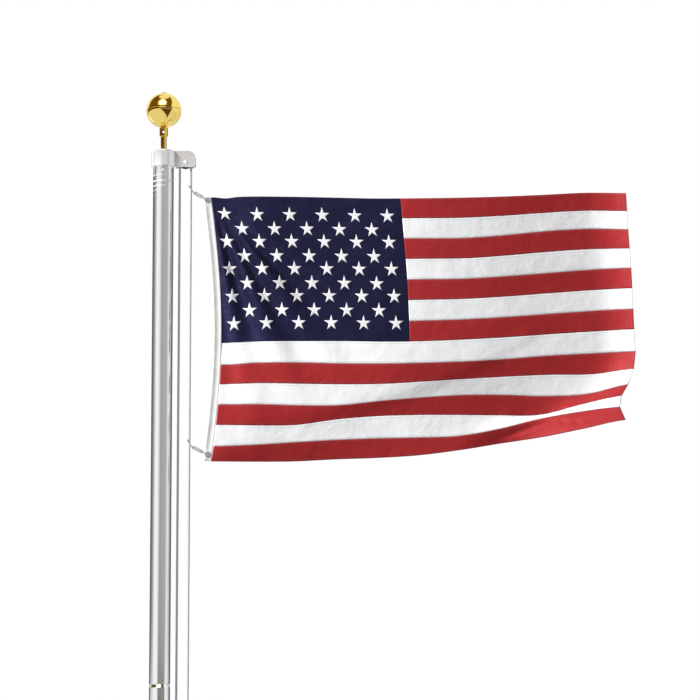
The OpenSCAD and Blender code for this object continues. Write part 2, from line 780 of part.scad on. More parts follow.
ball_upper_half();
ball_lower_half();
ball_plug();
ferrule();
ferrule_set_screw();
spindle();
truck();
truck_screws();
sheave_pin();
sheave();
pole_section(1);  // pole_section_1
pole_section(2);  // pole_section_2
pole_section(3);  // pole_section_3
pole_section(4);  // pole_section_4
pole_plug();
ground_sleeve();
centring_ring();
cleat();
cleat_screws();
halyard_bend();
halyard_inner_fall();
halyard_outer_fall();
halyard_cleat_turns();
upper_snap_eye();
upper_snap_hook();
lower_snap_eye();
lower_snap_hook();
snap_bolts();
upper_grommet();
lower_grommet();
header();
canton();
for (i = [1:stripe_count])
    stripe(i);
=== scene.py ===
import math

import bpy
import numpy as np
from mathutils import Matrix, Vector


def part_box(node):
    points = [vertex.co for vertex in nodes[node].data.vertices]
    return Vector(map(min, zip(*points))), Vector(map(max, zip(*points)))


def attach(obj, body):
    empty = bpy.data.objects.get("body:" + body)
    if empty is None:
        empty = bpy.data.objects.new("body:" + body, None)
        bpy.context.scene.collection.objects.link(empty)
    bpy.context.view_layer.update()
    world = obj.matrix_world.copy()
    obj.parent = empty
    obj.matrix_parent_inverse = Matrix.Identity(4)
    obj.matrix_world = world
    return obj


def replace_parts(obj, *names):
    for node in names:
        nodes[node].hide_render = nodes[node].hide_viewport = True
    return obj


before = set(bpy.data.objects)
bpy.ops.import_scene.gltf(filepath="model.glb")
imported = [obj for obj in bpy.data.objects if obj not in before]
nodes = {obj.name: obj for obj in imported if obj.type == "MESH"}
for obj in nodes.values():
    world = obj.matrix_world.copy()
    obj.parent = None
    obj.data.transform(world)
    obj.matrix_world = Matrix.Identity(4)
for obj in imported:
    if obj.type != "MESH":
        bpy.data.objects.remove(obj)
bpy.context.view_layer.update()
scene = bpy.context.scene
scene.view_settings.view_transform = "Standard"

# ---- Studio ------------------------------------------------------------------
# A pale floor, an even white surround, and one soft key lamp high on the left. Dark and
# glowing cloths stand round the pole, and only reflections show them, so that the
# polished and satin metal has something to mirror.
MM = 0.001
key_strength, key_spread, key_rise, key_turn = 5.6, 14, 30, -62
# how much the surround lights a matt surface, beside the full white that a lens or a mirror sees
surround_fill = 0.17
floor_half = 60.0
# the dome round the pole's head that the cloths hang on, and how far over the floor they stop
dome_r = 22.0
dome_z = 5.6
floor_clear = 0.3


def new_material(name):
    """A material with its nodes, and the shader that every finish here starts from."""
    made = bpy.data.materials.new(name)
    made.use_nodes = True
    return made, made.node_tree.nodes, made.node_tree.links, made.node_tree.nodes["Principled BSDF"]


def solid_colour(rgb):
    return (rgb[0], rgb[1], rgb[2], 1.0)


def sun(name, strength, spread, rise, turn):
    """A distant soft lamp, turned from the viewer's side (negative turn is to the left)."""
    data = bpy.data.lights.new(name, "SUN")
    data.energy = strength
    data.angle = math.radians(spread)
    lamp = bpy.data.objects.new(name, data)
    lamp.rotation_euler = (math.radians(90 - rise), 0, math.radians(turn))
    scene.collection.objects.link(lamp)
    return lamp


sun("key_lamp", key_strength, key_spread, key_rise, key_turn).visible_glossy = False
# the same lamp's gloss, which falls on the flag alone
gloss_lamp = sun("gloss_lamp", key_strength, key_spread, key_rise, key_turn)
gloss_lamp.visible_diffuse = False
gloss_lamp.light_linking.receiver_collection = bpy.data.collections.new("flag_cloth")

world = bpy.data.worlds.new("white_surround")
world.use_nodes = True
scene.world = world
surround_links = world.node_tree.links
surround = world.node_tree.nodes["Background"]
surround.inputs["Color"].default_value = (1, 1, 1, 1)
ray = world.node_tree.nodes.new("ShaderNodeLightPath")
seen = world.node_tree.nodes.new("ShaderNodeMath")
seen.operation = "MAXIMUM"
surround_links.new(ray.outputs["Is Camera Ray"], seen.inputs[0])
surround_links.new(ray.outputs["Is Glossy Ray"], seen.inputs[1])
level = world.node_tree.nodes.new("ShaderNodeMapRange")
level.inputs["To Min"].default_value = surround_fill
level.inputs["To Max"].default_value = 1.0
surround_links.new(seen.outputs[0], level.inputs["Value"])
surround_links.new(level.outputs[0], surround.inputs["Strength"])

bpy.ops.object.select_all(action="DESELECT")
bpy.ops.mesh.primitive_plane_add(size=2 * floor_half)
floor = bpy.context.object
floor.name = "floor"
floor_paint, _, _, floor_shader = new_material("pale_floor")
floor_shader.inputs["Base Color"].default_value = (0.80, 0.80, 0.80, 1)
floor_shader.inputs["Roughness"].default_value = 0.9
floor_shader.inputs["Specular IOR Level"].default_value = 0.1
floor.data.materials.append(floor_paint)


def glowing_card(name, points, faces):
    """A glowing sheet that only reflections see. Returns its mesh, and its material's nodes, links
    and glow."""
    mesh = bpy.data.meshes.new(name)
    mesh.from_pydata(points, [], faces)
    card = bpy.data.objects.new(name, mesh)
    scene.collection.objects.link(card)
    paint, made, links, shader = new_material(name)
    made.remove(shader)
    glow = made.new("ShaderNodeEmission")
    links.new(glow.outputs[0], made["Material Output"].inputs["Surface"])
    mesh.materials.append(paint)
    card.visible_camera = False
    card.visible_diffuse = False
    card.visible_shadow = False
    card.visible_transmission = False
    return mesh, made, links, glow


def studio_cloth(name, light, rows, radius=dome_r, middle_z=dome_z):
    """A cloth of one colour on the dome, or just over the floor where the dome would pass below it.
    Each row is its height on the dome and the turns it runs between, in degrees. Its light goes
    from 0 black to 1 white in each colour, or past white for a lamp."""
    steps = 16
    points = []
    for rise, start, stop in rows:
        slope = math.sin(math.radians(rise))
        reach = min(radius, (middle_z - floor_clear) / max(0.01, -slope))
        for i in range(steps + 1):
            turn = math.radians(start + (stop - start) * i / steps)
            out = reach * math.cos(math.radians(rise))
            points.append((out * math.sin(turn), -out * math.cos(turn), middle_z + reach * slope))
    width = steps + 1
    faces = [(r * width + i, r * width + i + 1, (r + 1) * width + i + 1, (r + 1) * width + i)
             for r in range(len(rows) - 1) for i in range(steps)]
    mesh, made, links, glow = glowing_card(name, points, faces)
    glow.inputs["Color"].default_value = solid_colour(light)


def round_rows(rise, turn, half_rise, half_turn):
    """Rows of an oval cloth about its middle."""
    swing = [math.pi * i / 12 for i in range(13)]
    return [(rise - half_rise * math.cos(a), turn - half_turn * math.sin(a), turn + half_turn * math.sin(a))
            for a in swing]


# the band that the upright metal mirrors, as turns in degrees and the light at each
band_turns = (-122, -104, -90, -77, -65, -35, -25, -15, -3, 24, 52, 66, 78, 91, 104, 116, 126)
band_light = (
    0.14, 0.29, 0.42, 0.74, 1.03, 1.03, 0.72, 0.46, 0.39, 0.46, 0.45, 0.70, 0.90, 0.78, 0.42, 0.20, 0.14)


def graded_band(name, low, high):
    """A band of cloth round the pole whose light changes smoothly along it."""
    points = []
    for turn in band_turns:
        for rise in (low, high):
            a, b = math.radians(turn), math.radians(rise)
            points.append((dome_r * math.cos(b) * math.sin(a), -dome_r * math.cos(b) * math.cos(a),
                           dome_z + dome_r * math.sin(b)))
    faces = [(2 * i, 2 * i + 2, 2 * i + 3, 2 * i + 1) for i in range(len(band_turns) - 1)]
    mesh, made, links, glow = glowing_card(name, points, faces)
    tint = mesh.color_attributes.new("light", "FLOAT_COLOR", "POINT")
    for i, light in enumerate(band_light):
        for k in (2 * i, 2 * i + 1):
            tint.data[k].color = (light, light, light, 1)
    grade = made.new("ShaderNodeAttribute")
    grade.attribute_name = "light"
    links.new(grade.outputs["Color"], glow.inputs["Color"])


graded_band("graded_band", 1, 15)
studio_cloth("rear_cloth", (0.14, 0.14, 0.14), ((-3, 126, 238), (15, 126, 238)))
studio_cloth("dark_wedge", (0.11, 0.06, 0.01), (
    (-57, 34, 38), (-35, 20, 42), (-14, -4, 48), (1, -20, 56)))
studio_cloth("dark_canopy", (0.17, 0.09, 0.01), (
    (17, -112, 50), (30, -118, 58), (48, -132, 74), (62, -150, 100), (70, -170, 130)))
studio_cloth("soft_box_rim", (0.7, 0.58, 0.36), round_rows(45, -10, 27, 40), 21.8)
studio_cloth("soft_box", (1.6, 1.5, 1.3), round_rows(45, -9, 23, 32), 21.6)
studio_cloth("soft_box_middle", (4.5, 4.5, 5.0), round_rows(45, -9, 16, 22), 21.4)
# a dark strip beside the spindle, for it to mirror
studio_cloth("spindle_flag", (0.11, 0.05, 0.0), ((1.7, -125, 10), (9.6, -125, 10)), 1.0, 6.255)
# small cards by the ball, for it to mirror
ball_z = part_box("ball_upper_half")[0].z
studio_cloth("rim_card", (0.85, 0.72, 0.45), ((-16, 98, 262), (12, 98, 262)), 0.12, ball_z)
studio_cloth("side_card", (0.92, 0.91, 0.88), (
    (-86, 0, 230), (-70, 30, 230), (-5, 34, 230), (2, 36, 230)), 0.065, ball_z)
studio_cloth("front_card", (0.15, 0.08, 0.01), ((1, -108, 48), (18, -108, 48)), 0.25, ball_z)
studio_cloth("streak_card", (2.0, 2.0, 2.0), ((-40, -125, -118), (-12, -128, -116)), 0.3, ball_z)

# The camera stands low and far off, and looks up at the top half of the pole.
view_target = Vector((0.643, 0, 5.416))
view_distance = 13.713
view_rise = math.radians(9.426)
camera_data = bpy.data.cameras.new("camera")
camera_data.lens = 206.06
camera_data.sensor_width = 36
camera_data.clip_end = 200
camera = bpy.data.objects.new("camera", camera_data)
camera.location = view_target - view_distance * Vector((0, math.cos(view_rise), math.sin(view_rise)))
camera.rotation_euler = (math.radians(90) + view_rise, 0, 0)
scene.collection.objects.link(camera)
scene.camera = camera

# ---- Pole tubes --------------------------------------------------------------
# Four drawn aluminium tubes, satin anodised, with fine lines along them. The upper end of
# each but the top one is swaged and fits up inside the next. A few bright rings are
# scuffed into the top one, under the cap's skirt.
tube_metal = (0.85, 0.86, 0.87)
burnished = (0.80, 0.80, 0.81)
# fine lines along the tube, packed close round it and long along it
line_scale = (900, 900, 3)
ring_fade = 10 * MM
ring_ragged = 10 * MM
cap_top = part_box("truck")[1].z
# each ring's drop below the cap's top, its half height, how far round to the right it runs, all in
# mm, and how bright it is
rings = (
    (89.3, 1.0, 22, 0.6), (109.3, 1.6, 60, 0.9), (126.9, 1.4, 16, 0.75), (142.6, 1.1, -8, 0.5),
    (159.8, 0.8, -18, 0.25))

satin, made, links, shader = new_material("satin_tube")


def maths(nodes_of, links_of, operation, *values):
    """A maths node. Each value is a number or another node's output."""
    node = nodes_of.new("ShaderNodeMath")
    node.operation = operation
    for index, value in enumerate(values):
        if isinstance(value, (int, float)):
            node.inputs[index].default_value = value
        else:
            links_of.new(value, node.inputs[index])
    return node.outputs[0]


shader.inputs["Metallic"].default_value = 1.0
shader.inputs["Base Color"].default_value = solid_colour(tube_metal)
place = made.new("ShaderNodeTexCoord").outputs["Object"]
stretch = made.new("ShaderNodeMapping")
stretch.inputs["Scale"].default_value = line_scale
links.new(place, stretch.inputs["Vector"])
lines = made.new("ShaderNodeTexNoise")
lines.inputs["Scale"].default_value = 1.0
lines.inputs["Detail"].default_value = 3.0
links.new(stretch.outputs[0], lines.inputs["Vector"])
rough = made.new("ShaderNodeMapRange")
rough.inputs["To Min"].default_value = 0.08
rough.inputs["To Max"].default_value = 0.15
links.new(lines.outputs["Fac"], rough.inputs["Value"])
links.new(rough.outputs[0], shader.inputs["Roughness"])
split = made.new("ShaderNodeSeparateXYZ")
links.new(place, split.inputs[0])
broken = made.new("ShaderNodeTexNoise")
broken.inputs["Scale"].default_value = 60.0
links.new(place, broken.inputs["Vector"])
ragged = maths(made, links, "MULTIPLY_ADD", broken.outputs["Fac"], ring_ragged, -ring_ragged / 2)
worn = None
for drop, half, right, strength in rings:
    near = maths(made, links, "COMPARE", split.outputs["Z"], cap_top - drop * MM, half * MM)
    left = maths(made, links, "SUBTRACT", right * MM, maths(made, links, "ADD", split.outputs["X"], ragged))
    # a ring fades out at its end
    fade = made.new("ShaderNodeMapRange")
    fade.inputs["From Max"].default_value = ring_fade
    fade.inputs["To Max"].default_value = strength
    links.new(left, fade.inputs["Value"])
    ring = maths(made, links, "MULTIPLY", near, fade.outputs[0])
    worn = ring if worn is None else maths(made, links, "MAXIMUM", worn, ring)
bare = made.new("ShaderNodeBsdfDiffuse")
bare.inputs["Color"].default_value = solid_colour(burnished)
blend = made.new("ShaderNodeMixShader")
links.new(worn, blend.inputs["Fac"])
links.new(shader.outputs[0], blend.inputs[1])
links.new(bare.outputs[0], blend.inputs[2])
links.new(blend.outputs[0], made["Material Output"].inputs["Surface"])


def paint_node(node, material):
    """Gives a carried CAD node its finish."""
    mesh = nodes[node].data
    mesh.materials.clear()
    mesh.materials.append(material)


for number in range(1, 5):
    paint_node(f"pole_section_{number}", satin)

# ---- Foot of the pole ----------------------------------------------------------
# The rim of a white plastic ground sleeve, the black rubber ring that centres the tube
# in it, and the plug inside the tube.


def plain_finish(name, rgb, metallic, roughness, grain, depth):
    """A finish with a fine random grain in its gloss and in its surface."""
    made_material, made, links, shader = new_material(name)
    shader.inputs["Base Color"].default_value = solid_colour(rgb)
    shader.inputs["Metallic"].default_value = metallic
    place = made.new("ShaderNodeTexCoord")
    speck = made.new("ShaderNodeTexNoise")
    speck.inputs["Scale"].default_value = grain
    speck.inputs["Detail"].default_value = 4.0
    links.new(place.outputs["Object"], speck.inputs["Vector"])
    gloss = made.new("ShaderNodeMapRange")
    gloss.inputs["To Min"].default_value = roughness * 0.8
    gloss.inputs["To Max"].default_value = roughness * 1.2
    links.new(speck.outputs["Fac"], gloss.inputs["Value"])
    links.new(gloss.outputs[0], shader.inputs["Roughness"])
    relief = made.new("ShaderNodeBump")
    relief.inputs["Strength"].default_value = 0.25
    relief.inputs["Distance"].default_value = depth
    links.new(speck.outputs["Fac"], relief.inputs["Height"])
    links.new(relief.outputs[0], shader.inputs["Normal"])
    return made_material


sleeve_plastic = plain_finish("white_pipe", (0.80, 0.80, 0.78), 0.0, 0.35, 60, 0.0002)
black_rubber = plain_finish("black_rubber", (0.025, 0.025, 0.025), 0.0, 0.75, 400, 0.0002)
paint_node("ground_sleeve", sleeve_plastic)
paint_node("centring_ring", black_rubber)
paint_node("pole_plug", black_rubber)

# ---- Truck, sheave and screws --------------------------------------------------
# One aluminium casting, ground smooth: a cap over the end of the tube with a housing on
# its side, in which a black nylon sheave turns on a riveted pin.
cast_metal = plain_finish("ground_casting", (0.95, 0.95, 0.96), 0.58, 0.16, 500, 0.00003)
pin_metal = plain_finish("bright_pin", (0.95, 0.95, 0.95), 0.2, 0.3, 900, 0.00005)
sheave_nylon = plain_finish("black_nylon", (0.03, 0.03, 0.032), 0.0, 0.45, 700, 0.00005)
paint_node("truck", cast_metal)
paint_node("truck_screws", pin_metal)
paint_node("sheave_pin", pin_metal)
paint_node("sheave", sheave_nylon)

# ---- Finial --------------------------------------------------------------------
# Two spun aluminium half shells, polished and gold anodised, pressed together at a fine
# rolled seam, on a turned spindle with a ferrule and a small plug at the top.
gold = plain_finish("gold_anodised", (0.92, 0.70, 0.20), 1.0, 0.07, 40, 0.0)
gold_turned = plain_finish("gold_turned", (0.90, 0.62, 0.10), 1.0, 0.10, 200, 0.00001)
ball_low, ball_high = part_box("ball_upper_half")
ball_r = (ball_high.x - ball_low.x) / 2
seam_round = 1.1 * MM
half_seam_gap = 0.15 * MM


def half_shell(name, side):
    """One half of the ball, with its edge rolled in at the seam."""
    bpy.ops.object.select_all(action="DESELECT")
    bpy.ops.mesh.primitive_uv_sphere_add(segments=96, ring_count=64, radius=ball_r, location=(0, 0, ball_z))
    shell = bpy.context.object
    shell.name = name
    bpy.ops.object.transform_apply(location=True)
    bpy.ops.object.mode_set(mode="EDIT")
    bpy.ops.mesh.select_all(action="SELECT")
    bpy.ops.mesh.bisect(plane_co=(0, 0, ball_z + side * half_seam_gap), plane_no=(0, 0, 1),
                        clear_inner=side > 0, clear_outer=side < 0, use_fill=True)
    bpy.ops.mesh.bevel(offset=seam_round, segments=4, affect="EDGES")
    bpy.ops.object.mode_set(mode="OBJECT")
    bpy.ops.object.shade_smooth_by_angle(angle=math.radians(50))
    shell.data.materials.clear()
    shell.data.materials.append(gold)
    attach(shell, "pole")
    return shell


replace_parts(half_shell("ball_upper_shell", 1), "ball_upper_half")
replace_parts(half_shell("ball_lower_shell", -1), "ball_lower_half")
paint_node("ball_plug", gold)
paint_node("ferrule", gold_turned)
paint_node("spindle", gold_turned)
paint_node("ferrule_set_screw", pin_metal)

# ---- Cleat ---------------------------------------------------------------------
# A cast aluminium horn cleat, ground smooth like the truck. Two plated screws through its
# pad hold it to the tube.
paint_node("cleat", cast_metal)
paint_node("cleat_screws", pin_metal)

# ---- Snaps and grommets --------------------------------------------------------
# Zinc-plated steel snaps: each has an eye round the rope, and a hook with a sprung bolt
# that pulls on a grommet. The grommets are nickel-plated brass, pressed into the header.
plated_steel = plain_finish("zinc_plate", (0.62, 0.63, 0.65), 1.0, 0.28, 300, 0.00005)
nickel = plain_finish("nickel_plate", (0.62, 0.62, 0.62), 1.0, 0.12, 500, 0.00002)
for snap_part in ("upper_snap_eye", "upper_snap_hook", "lower_snap_eye", "lower_snap_hook", "snap_bolts"):
    paint_node(snap_part, plated_steel)
paint_node("upper_grommet", nickel)
paint_node("lower_grommet", nickel)

# ---- Halyard -------------------------------------------------------------------
# One closed loop of 8 mm braided polyester: up the inner fall, over the sheave, down the
# outer fall that the snaps ride on, and round the cleat in a figure of eight.
inner_low, inner_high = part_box("halyard_inner_fall")
outer_low, outer_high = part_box("halyard_outer_fall")
rope_r = (inner_high.x - inner_low.x) / 2
inner_x = (inner_low.x + inner_high.x) / 2
outer_x = (outer_low.x + outer_high.x) / 2
axle_z = inner_high.z
bend_r = (outer_x - inner_x) / 2
tube_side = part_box("pole_section_1")[1].x
cleat_low, cleat_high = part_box("cleat")
cleat_z = (cleat_low.z + cleat_high.z) / 2


def lay(x, y, z):
    """A point on the rope's way round the cleat, in mm from the cleat's centre at the tube's side
    to the near side of the rope, whose own radius is then added."""
    side = (y > 0) - (y < 0)
    return Vector((tube_side + x * MM + rope_r, y * MM + side * rope_r, cleat_z + z * MM))


lead_in = [
    lay(15, -1, 220), lay(12, -9, 150), lay(8, -13, 90), lay(6.5, -13, 40), lay(6.5, -12, 0)]
first_turn = [
    lay(6.5, -10.5, -18), lay(6.5, -4, -27), lay(7, 0, -29), lay(9, 5, -27),
    lay(16, 12, -22), lay(28, 13, -15), lay(39, 8, -8), lay(42, 0, 0), lay(39, -8, 8),
    lay(30, -14, 15), lay(20, -13, 22), lay(16, -5, 28), lay(16, 0, 30), lay(16, 5, 28)]
second_turn = [
    lay(20, 13, 22), lay(34, 15, 15), lay(48, 8, 8), lay(52, 0, 0), lay(48, -9, -8),
    lay(34, -15, -15), lay(21, -14, -22), lay(17, -5, -28), lay(17, 0, -30), lay(16, 6, -29)]
lead_out = [
    lay(14, 16, -22), lay(12, 23, -6), lay(12, 24, 20), lay(16, 20, 80), lay(28, 11, 160),
    lay(44, 1, 260)]
fall_step = 0.03


def straight(x, low, high):
    """A straight fall of the rope, with points along it from low to high."""
    count = int((high - low) / fall_step)
    return [Vector((x, 0, low + (high - low) * i / count)) for i in range(count + 1)]


inner_fall = straight(inner_x, inner_low.z - 30 * MM, axle_z)
outer_fall = straight(outer_x, outer_low.z - 40 * MM, axle_z)
over = [Vector((inner_x + bend_r - bend_r * math.cos(a), 0, axle_z + bend_r * math.sin(a)))
        for a in [math.pi * i / 24 for i in range(1, 24)]]
turns = lead_in + first_turn + second_turn + lead_out
rope_route = turns + outer_fall + over[::-1] + inner_fall[::-1]


def smooth_loop(points, steps):
    """A closed smooth curve through the points."""
    made = []
    count = len(points)
    for i in range(count):
        a, b, c, d = (points[(i + k - 1) % count] for k in range(4))
        for k in range(steps):
            t = k / steps
            made.append(0.5 * (2 * b + (c - a) * t + (2 * a - 5 * b + 4 * c - d) * t * t
                               + (3 * b - a - 3 * c + d) * t * t * t))
    return made


def rope_mesh(name, points, radius, sides):
    """A round rope along a closed line, with a UV map of turns round it by lengths along it."""
    count = len(points)
    along = [(points[(i + 1) % count] - points[i - 1]).normalized() for i in range(count)]
    side = Vector((0, 1, 0))
    carried = []
    for tangent in along + along[:1]:
        side = (side - side.dot(tangent) * tangent).normalized()
        carried.append(side)
    # each ring takes its share of the turn that is left where the loop closes
    left_over = math.atan2(carried[-1].cross(carried[0]).dot(along[0]), carried[-1].dot(carried[0]))
    rings = []
    lengths = [0.0]
    for i in range(count):
        side, up = carried[i], along[i].cross(carried[i])
        turns = [2 * math.pi * k / sides + left_over * i / count for k in range(sides)]
        rings.append([points[i] + radius * (math.cos(a) * side + math.sin(a) * up) for a in turns])
        lengths.append(lengths[-1] + (points[(i + 1) % count] - points[i]).length)
    mesh = bpy.data.meshes.new(name)
    vertices = [v for ring in rings for v in ring]
    faces = []
    for i in range(count):
        j = (i + 1) % count
        for k in range(sides):
            m = (k + 1) % sides
            faces.append((i * sides + k, i * sides + m, j * sides + m, j * sides + k))
    mesh.from_pydata(vertices, [], faces)
    uv = mesh.uv_layers.new(name="UVMap")
    loop = 0
    for i in range(count):
        for k in range(sides):
            for around, ahead in ((k, i), (k + 1, i), (k + 1, i + 1), (k, i + 1)):
                uv.data[loop].uv = (around / sides, lengths[ahead] / (2 * math.pi * radius))
                loop += 1
    mesh.shade_smooth()
    made = bpy.data.objects.new(name, mesh)
    scene.collection.objects.link(made)
    return made


halyard = rope_mesh("halyard", smooth_loop(rope_route, 4), rope_r, 12)

# the braid's strands cross each other, as many each way round the rope
strand_count = 8
# the braid is painted darker in the grooves between its strands, as painted shade, and keeps its own light
# grey on their crowns
braid_groove_shade = (0.36, 0.36, 0.37)
braid_strand_grey = (0.78, 0.78, 0.79)
braid, made, links, shader = new_material("grey_braid")
place = made.new("ShaderNodeUVMap")
place.uv_map = "UVMap"
split = made.new("ShaderNodeSeparateXYZ")
links.new(place.outputs[0], split.inputs[0])
strands = []
for direction in (1, -1):
    around = maths(made, links, "MULTIPLY", split.outputs["X"], strand_count * math.pi)
    lay_rate = direction * strand_count * math.pi
    wave = maths(made, links, "MULTIPLY_ADD", split.outputs["Y"], lay_rate, around)
    strands.append(maths(made, links, "ABSOLUTE", maths(made, links, "SINE", wave)))
weave = maths(made, links, "MULTIPLY", *strands)
# the weave is 0 in the grooves and 1 on the crowns: the colour runs from painted groove shade to the
# strands' grey, and the same weave raises the bump
shade = made.new("ShaderNodeMix")
shade.data_type = "RGBA"
shade.inputs["A"].default_value = solid_colour(braid_groove_shade)
shade.inputs["B"].default_value = solid_colour(braid_strand_grey)
links.new(weave, shade.inputs["Factor"])
links.new(shade.outputs["Result"], shader.inputs["Base Color"])
relief = made.new("ShaderNodeBump")
relief.inputs["Strength"].default_value = 0.6
relief.inputs["Distance"].default_value = 0.0008
links.new(weave, relief.inputs["Height"])
links.new(relief.outputs[0], shader.inputs["Normal"])
shader.inputs["Roughness"].default_value = 0.75
shader.inputs["Sheen Weight"].default_value = 0.15
halyard.data.materials.append(braid)
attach(halyard, "pole")
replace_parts(halyard, "halyard_inner_fall", "halyard_outer_fall", "halyard_bend", "halyard_cleat_turns")

# ---- Flag cloth ----------------------------------------------------------------
# Thirteen sewn stripes and a canton of nylon, on a canvas header. The cloth flies in a
# light wind: it pulls in creases from its upper corner, rolls in one long wave, and its
# lower fly corner is blown up and folds in.
stripe_count = 13
canton_stripes = 7
header_low, header_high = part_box("header")
hoist_height = header_high.z - header_low.z
flag_top = header_high.z
# the hoist seam's distance from the pole's axis at its top, its slant and its bow
upper_hoist_x = 0.165
hoist_slant = 0.005
hoist_bow = 0.035
# from the hoist seam to the free edge, and the canton's share of it
fly_length = 1.494
canton_end = 0.456
half_cloth = 0.00025
cloth_spacing = 0.0045
canton_spacing = 0.0034
# where each seam lies above an even spacing, in mm, at evenly spaced stations from hoist to fly
station_count = 11
seam_rows = (0, 2, 4, 7, 8, 9, 10, 11, 12, 13)
seam_lifts = (
    (0, 3, 2, -1, -4, -3, -1, 3, 9, 16, 15),
    (0, 0, 0, -2, -3, -3, -2, 8, 22, 30, 29),
    (-6, -4, -4, -5, -7, -5, -3, 6, 17, 28, 35),
    (-16, -10, -9, -9, -11, -9, -3, 5, 15, 24, 32),
    (-21, -13, -13, -16, -16, -13, -8, 1, 12, 19, 26),
    (-18, -14, -16, -18, -16, -8, 1, 9, 15, 17, 36),
    (-17, -16, -20, -19, -4, 8, 16, 16, 12, 19, 52),
    (-17, -19, -17, 2, 13, 17, 17, 16, 18, 53, 83),
    (-20, -15, -6, 2, 7, 10, 15, 39, 74, 99, 116),
    (-2, -3, -2, 5, 10, 19, 37, 60, 82, 111, 141))
# the same seams' ends at the fly, in mm from the pole's axis
fly_ends = (1594, 1600, 1609, 1617, 1621, 1614, 1594, 1571, 1565, 1584)
# how far the top edge sags beside its corner, and how far the snap pulls the cloth up below it, in mm
corner_sag, corner_pull = 5, 7


def smooth_rows(stations, rows, at):
    """Smooth curves through the rows' values at evenly spaced stations, one row at a time."""
    place = np.clip(at, 0, 1) * (stations - 1)
    i = np.minimum(place.astype(int), stations - 2)
    t = place - i
    rows = np.asarray(rows, float)
    a, b = rows[:, np.maximum(i - 1, 0)], rows[:, i]
    c, d = rows[:, i + 1], rows[:, np.minimum(i + 2, stations - 1)]
    return 0.5 * (2 * b + (c - a) * t + (2 * a - 5 * b + 4 * c - d) * t ** 2
                  + (3 * b - a - 3 * c + d) * t ** 3)


def between_rows(row_places, values, v):
    """Values of the rows at each point's own height down the hoist, v from 0 to 1."""
    rows = np.array(row_places) / stripe_count
    i = np.clip(np.searchsorted(rows, v, side="right") - 1, 0, len(rows) - 2)
    t = (v - rows[i]) / (rows[i + 1] - rows[i])
    columns = np.arange(len(v))
    return values[i, columns] * (1 - t) + values[i + 1, columns] * t


def seam_line_x(v):
    """The hoist seam, bowed out between its two snaps."""
    return upper_hoist_x + hoist_slant * v + hoist_bow * np.sin(np.pi * v)


def bump(x, middle, width):
    """A smooth hump of height 1 at its middle."""
    return np.exp(-((x - middle) / width) ** 2)


def step(x, low, high):
    """A smooth rise from 0 at low to 1 at high."""
    t = np.clip((x - low) / (high - low), 0, 1)
    return t * t * (3 - 2 * t)


def plateau(x, rise_from, rise_to, fall_from, fall_to):
    """1 between two places, with a smooth rise before it and a smooth fall after it."""
    return step(x, rise_from, rise_to) * step(-x, -fall_to, -fall_from)


def above_line(x, z, line_x, line_z, slope):
    """How far points lie above a slanting line through a place."""
    return (z - line_z) - slope * (x - line_x)


# how far the cloth lies behind the pole's plane, in mm, at the same stations
depth_rows = (0, 8, 10, 11, 12, 13)
depth_places = (
    (0, -20, -24, -28, -35, -38, -28, -8, 16, 42, 62),
    (0, -24, -30, -36, -42, -37, -24, -4, 18, 42, 60),
    (0, -14, -20, -25, -25, -15, 0, 18, 34, 38, 12),
    (0, -6, -8, -10, -8, -4, 10, 26, 36, 10, -20),
    (0, 0, 2, 4, 4, 2, 8, 10, 18, -14, -46),
    (0, 20, 27, 29, 24, 14, 13, 32, -2, -46, -64))


# the free edge's curl: where it starts and how wide it is, as shares of the fly, and its depth
curl_from, curl_width, curl_depth = 0.905, 0.095, 0.042
# the creases that fan out under the upper snap: their depth, how far they reach, one crease's
# bearing in degrees, and how many degrees of wave there are to a degree of bearing
fan_depth, fan_reach, fan_bearing, fan_rate = 0.00896, 0.66, 29.8, 27.7
# each lower crease follows a line through a place, with a slope: x, z and slope
lower_crease, lower_crease_bend, lower_crease_depth = (0.4, 5.165, 0.087), 0.283, 0.006
fold_line, fold_depth = (1.225, 5.136, 0.32), 0.006
white_crease, white_crease_depth = (1.416, 5.199, 0.2), 0.004
dents, dent_depth = ((1.368, 5.168), (1.418, 5.166)), 0.003


def cloth_depth(u, v, x, z):
    """How far the cloth lies behind the plane of the pole, in metres (negative is nearer the viewer)."""
    depth = between_rows(depth_rows, smooth_rows(station_count, depth_places, u), v) * MM
    # the free edge curls towards the viewer, above the lowest stripes
    curl = np.clip((u - curl_from) / curl_width, 0, 1)
    depth = depth - curl_depth * curl ** 2 * step(-v * stripe_count, -10.5, -9.0)
    # creases that the upper snap pulls into the canton
    away = np.hypot(x - upper_hoist_x, z - flag_top)
    bearing = np.degrees(np.arctan2(x - upper_hoist_x, flag_top - z))
    pull = step(away, 0.03, 0.34) * np.exp(-(away / fan_reach) ** 4)
    fan = plateau(bearing, 2, 10, 42, 60)
    depth = depth + fan_depth * pull * fan * np.cos(np.radians((bearing - fan_bearing) * fan_rate))
    # a crease from the lower snap up towards the middle
    across = above_line(x, z, *lower_crease) - lower_crease_bend * (x - lower_crease[0]) ** 2
    reach = plateau(x, 0.22, 0.36, 1.10, 1.40)
    depth = depth - lower_crease_depth * reach * step(across, -0.030, 0.030)
    # the lowest stripe folds in where its end starts to rise, and is dented beyond the fold
    fold = above_line(x, z, *fold_line)
    depth = depth + fold_depth * bump(x, 1.235, 0.09) * bump(fold, 0, 0.012)
    for dent_x, dent_z in dents:
        depth = depth + dent_depth * bump(x, dent_x, 0.014) * bump(z, dent_z, 0.011)
    # and the white stripe above it is creased along its middle
    crease = above_line(x, z, *white_crease)
    reach = plateau(x, 1.31, 1.40, 1.50, 1.60)
    return depth + white_crease_depth * bump(crease, 0, 0.009) * reach


